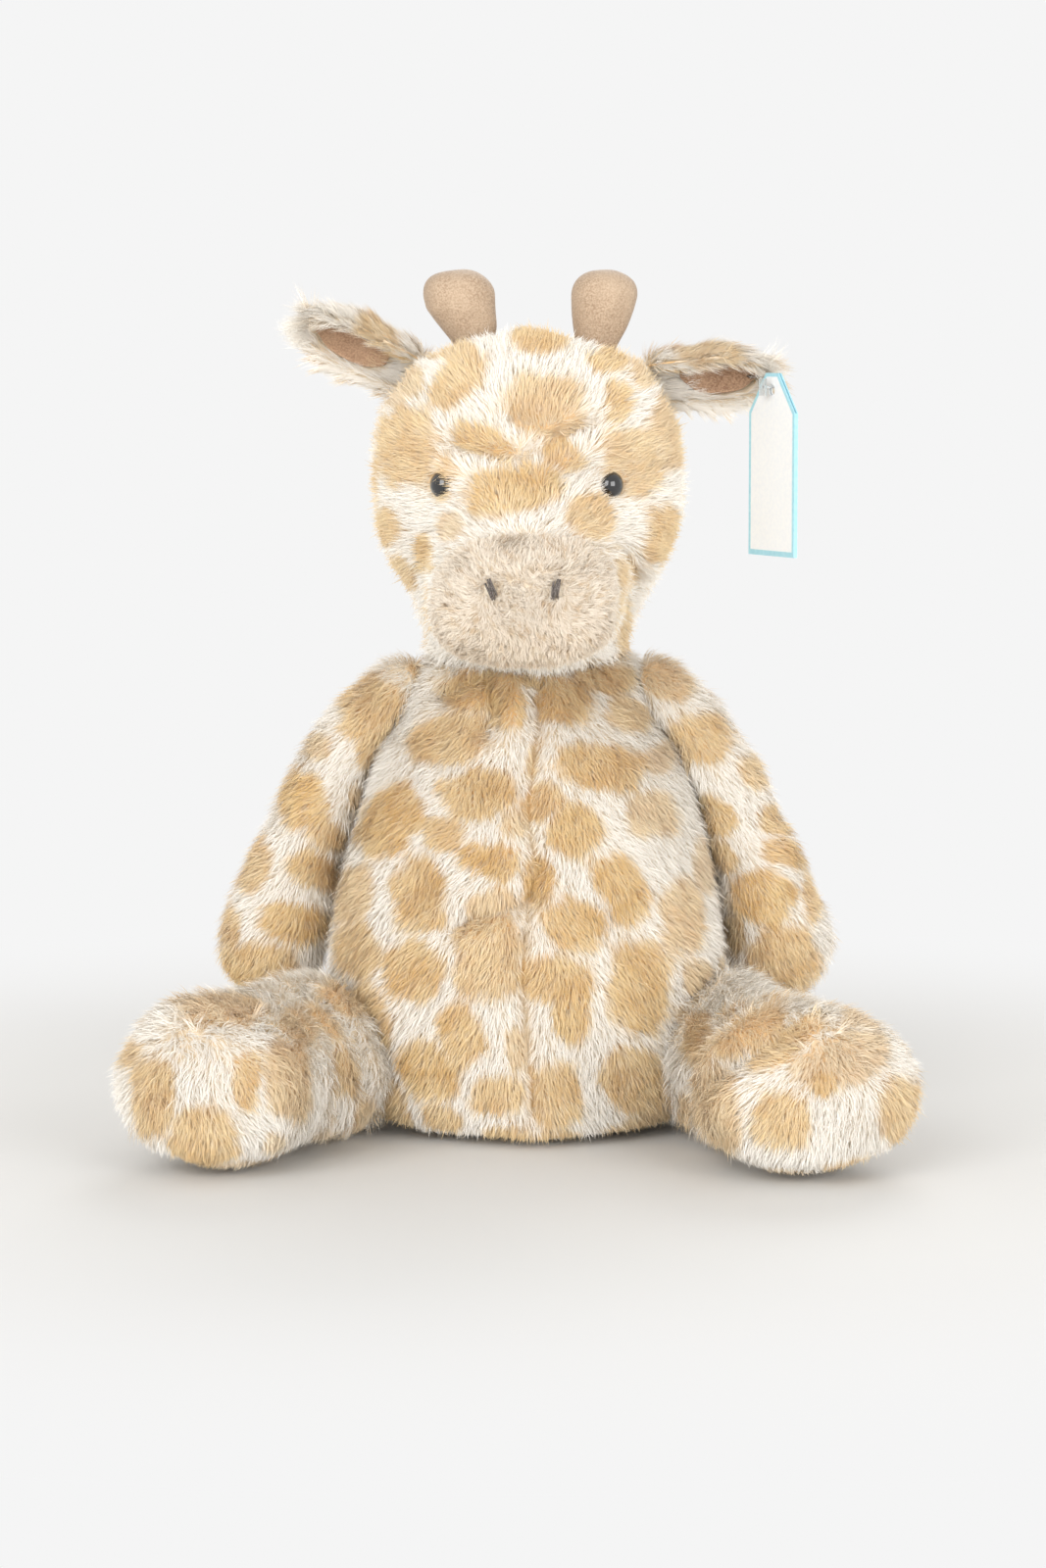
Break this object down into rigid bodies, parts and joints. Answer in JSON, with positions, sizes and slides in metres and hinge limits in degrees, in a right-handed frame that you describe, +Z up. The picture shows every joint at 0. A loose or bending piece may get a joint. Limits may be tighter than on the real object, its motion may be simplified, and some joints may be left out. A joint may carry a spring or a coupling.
{
  "type": "plush giraffe",
  "caption": "Soft seated giraffe toy in spotted cream plush, with suede horns, cupped ears, a curly muzzle panel, glossy bead eyes and a blank card tag.",
  "frame": {"origin": "centre of the flat seat that the torso rests on", "axes": "+Z up out of the seat, -Y the way the toy faces, +X the toy's own left side"},
  "size_m": [0.2792, 0.2416, 0.3119],
  "materials": {
    "cream_plush": "matte",
    "curly_plush": "matte",
    "tan_plush": "matte",
    "stuffing": "matte",
    "bean_cloth": "matte",
    "horn_suede": "matte",
    "ear_suede": "matte",
    "cream_thread": "matte",
    "grey_thread": "matte",
    "black_plastic": "gloss",
    "white_plastic": "satin",
    "clear_plastic": "gloss",
    "card": "satin"
  },
  "bodies": {
    "torso": {"torso_cover": "cream_plush", "torso_stuffing": "stuffing", "seat_bean_bag": "bean_cloth"},
    "neck": {"neck_seam_thread": "cream_thread"},
    "head": {"head_cover": "cream_plush", "head_stuffing": "stuffing", "muzzle_panel": "curly_plush", "nostril_stitch_left": "grey_thread", "nostril_stitch_right": "grey_thread", "eye_left": "black_plastic", "eye_right": "black_plastic", "eye_washer_left": "white_plastic", "eye_washer_right": "white_plastic"},
    "horn_left": {"horn_cover_left": "horn_suede", "horn_stuffing_left": "stuffing"},
    "horn_right": {"horn_cover_right": "horn_suede", "horn_stuffing_right": "stuffing"},
    "ear_left": {"ear_back_left": "cream_plush", "ear_lining_left": "ear_suede", "tag_fastener": "clear_plastic"},
    "ear_right": {"ear_back_right": "cream_plush", "ear_lining_right": "ear_suede"},
    "tag": {"hang_tag": "card"},
    "arm_left": {"arm_cover_left": "cream_plush", "arm_stuffing_left": "stuffing"},
    "arm_right": {"arm_cover_right": "cream_plush", "arm_stuffing_right": "stuffing"},
    "leg_left": {"leg_cover_left": "cream_plush", "leg_stuffing_left": "stuffing"},
    "leg_right": {"leg_cover_right": "cream_plush", "leg_stuffing_right": "stuffing"},
    "tail": {"tail_cover": "cream_plush", "tail_tuft": "tan_plush"}
  },
  "joints": [
    {"name": "head_nod", "type": "hinge", "parent": "torso", "child": "neck", "pos_m": [0, 0, 0.14], "axis": [1, 0, 0], "range_deg": [-20, 15], "stiffness_Nm_per_rad": 1.5},
    {"name": "head_turn", "type": "hinge", "parent": "neck", "child": "head", "pos_m": [0, 0, 0.14], "axis": [0, 0, 1], "range_deg": [-40, 40], "stiffness_Nm_per_rad": 0.4},
    {"name": "horn_left_bend", "type": "hinge", "parent": "head", "child": "horn_left", "pos_m": [0.02607, 0.00355, 0.28748], "axis": [0.0175, 0.9998, 0], "range_deg": [-12, 12], "stiffness_Nm_per_rad": 0.05},
    {"name": "horn_right_bend", "type": "hinge", "parent": "head", "child": "horn_right", "pos_m": [-0.01993, 0.00435, 0.28878], "axis": [0.0175, 0.9998, 0], "range_deg": [-12, 12], "stiffness_Nm_per_rad": 0.05},
    {"name": "ear_left_flap", "type": "hinge", "parent": "head", "child": "ear_left", "pos_m": [0.05449, -0.00095, 0.2705], "axis": [-0.0175, -0.9998, 0], "range_deg": [-20, 20], "stiffness_Nm_per_rad": 0.06},
    {"name": "ear_right_flap", "type": "hinge", "parent": "head", "child": "ear_right", "pos_m": [-0.05099, 0.00089, 0.277], "axis": [0.0175, 0.9998, 0], "range_deg": [-20, 20], "stiffness_Nm_per_rad": 0.06},
    {"name": "tag_swing", "type": "hinge", "parent": "ear_left", "child": "tag", "pos_m": [0.08715, -0.02052, 0.269], "axis": [-0.8746, -0.4848, 0], "range_deg": [-10, 60]},
    {"name": "arm_left_raise", "type": "hinge", "parent": "torso", "child": "arm_left", "pos_m": [0.0383, 0, 0.1706], "axis": [0, -1, 0], "range_deg": [0, 60]},
    {"name": "arm_right_raise", "type": "hinge", "parent": "torso", "child": "arm_right", "pos_m": [-0.0383, 0, 0.1706], "axis": [0, 1, 0], "range_deg": [0, 60]},
    {"name": "leg_left_lift", "type": "hinge", "parent": "torso", "child": "leg_left", "pos_m": [0.0685, -0.025, 0.062], "axis": [-0.9455, -0.3256, 0], "range_deg": [0, 45]},
    {"name": "leg_right_lift", "type": "hinge", "parent": "torso", "child": "leg_right", "pos_m": [-0.0685, -0.025, 0.062], "axis": [-0.8829, 0.4695, 0], "range_deg": [0, 45]},
    {"name": "tail_bend", "type": "hinge", "parent": "torso", "child": "tail", "pos_m": [0, 0.0615, 0.04], "axis": [1, 0, 0], "range_deg": [0, 45], "stiffness_Nm_per_rad": 0.02}
  ]
}
